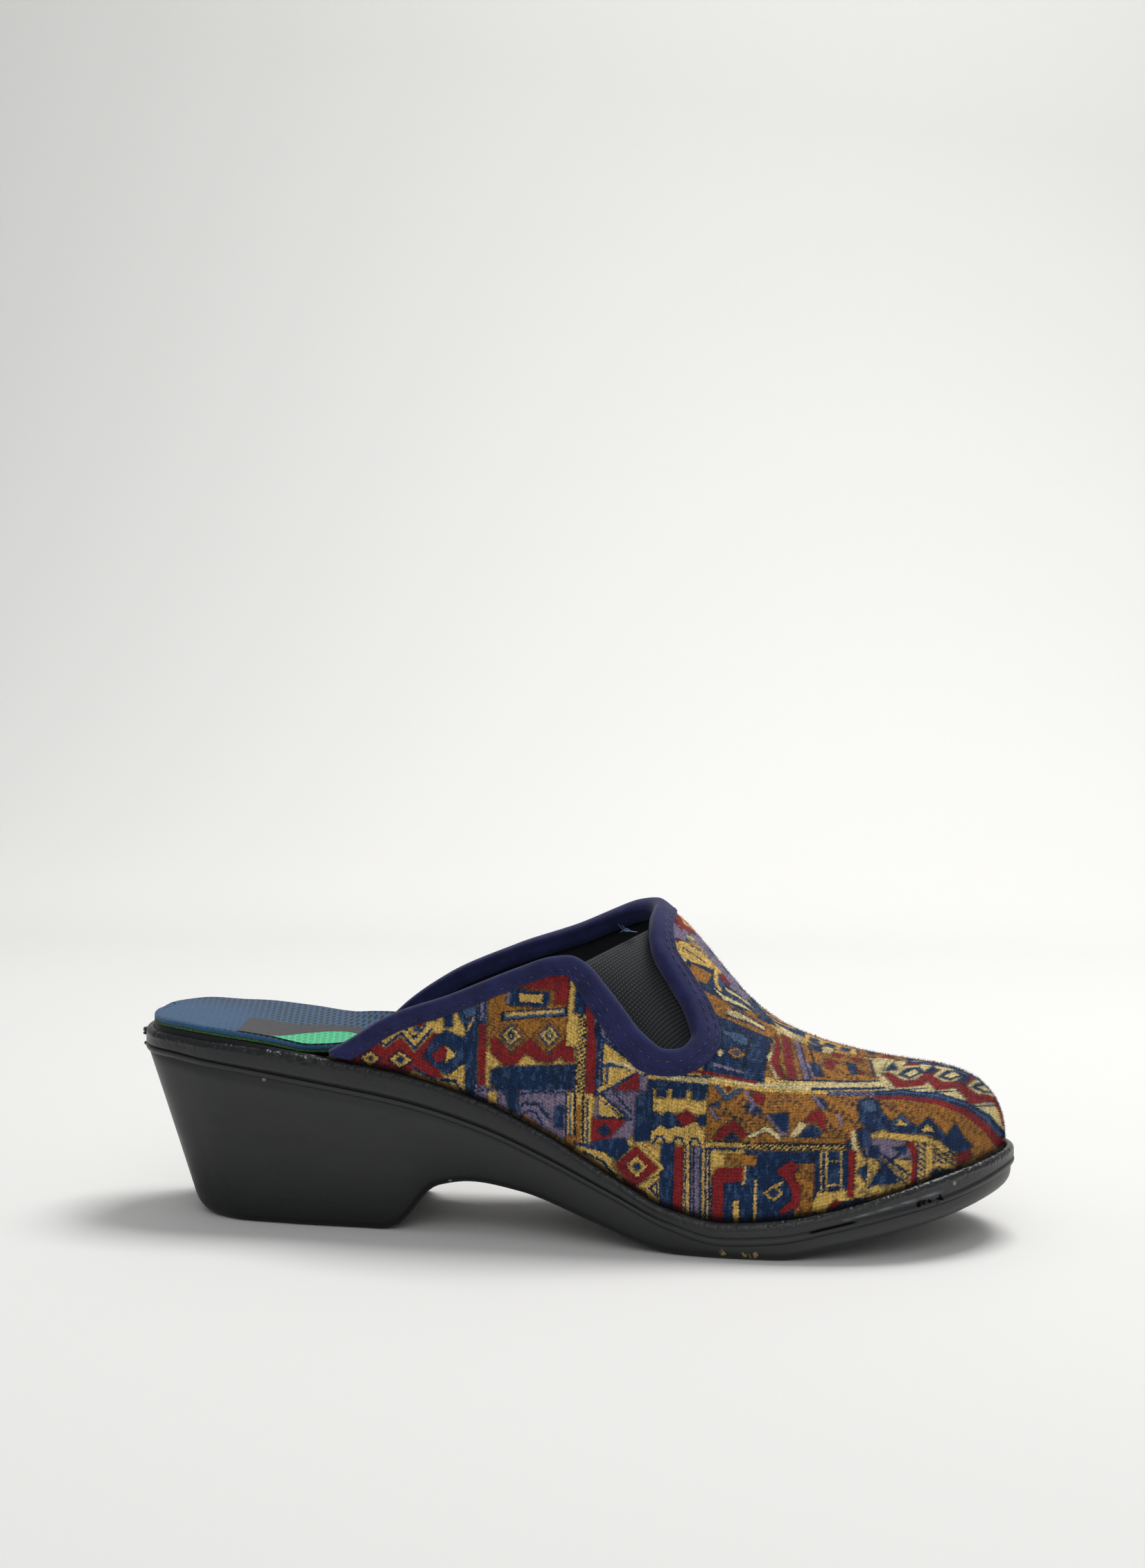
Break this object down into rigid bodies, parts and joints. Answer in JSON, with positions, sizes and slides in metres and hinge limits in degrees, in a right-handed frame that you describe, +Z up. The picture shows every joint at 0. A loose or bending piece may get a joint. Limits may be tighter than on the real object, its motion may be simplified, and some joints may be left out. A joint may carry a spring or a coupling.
{
  "type": "house slipper",
  "caption": "Open-back mule slipper for a right foot: patterned velour upper with an elastic side notch and bound topline on a moulded wedge sole.",
  "frame": {"origin": "bottom centre of the shoe's box, on the floor", "axes": "+X to the toe, -Y the outer side with the elastic notch, +Z up"},
  "size_m": [0.25, 0.0912, 0.0904],
  "materials": {
    "sole": "satin black moulded polyurethane",
    "sock_foam": "green foam layer",
    "sock_knit": "blue spacer knit",
    "velour": "ribbed velour with a woven-style geometric print",
    "elastic": "charcoal elastic twill",
    "binding": "dark blue microsuede binding"
  },
  "bodies": {
    "root": {"outsole": "sole", "sock_foam": "sock_foam", "sock_cover": "sock_knit", "upper": "velour", "gore": "elastic", "collar_binding": "binding"}
  },
  "joints": []
}
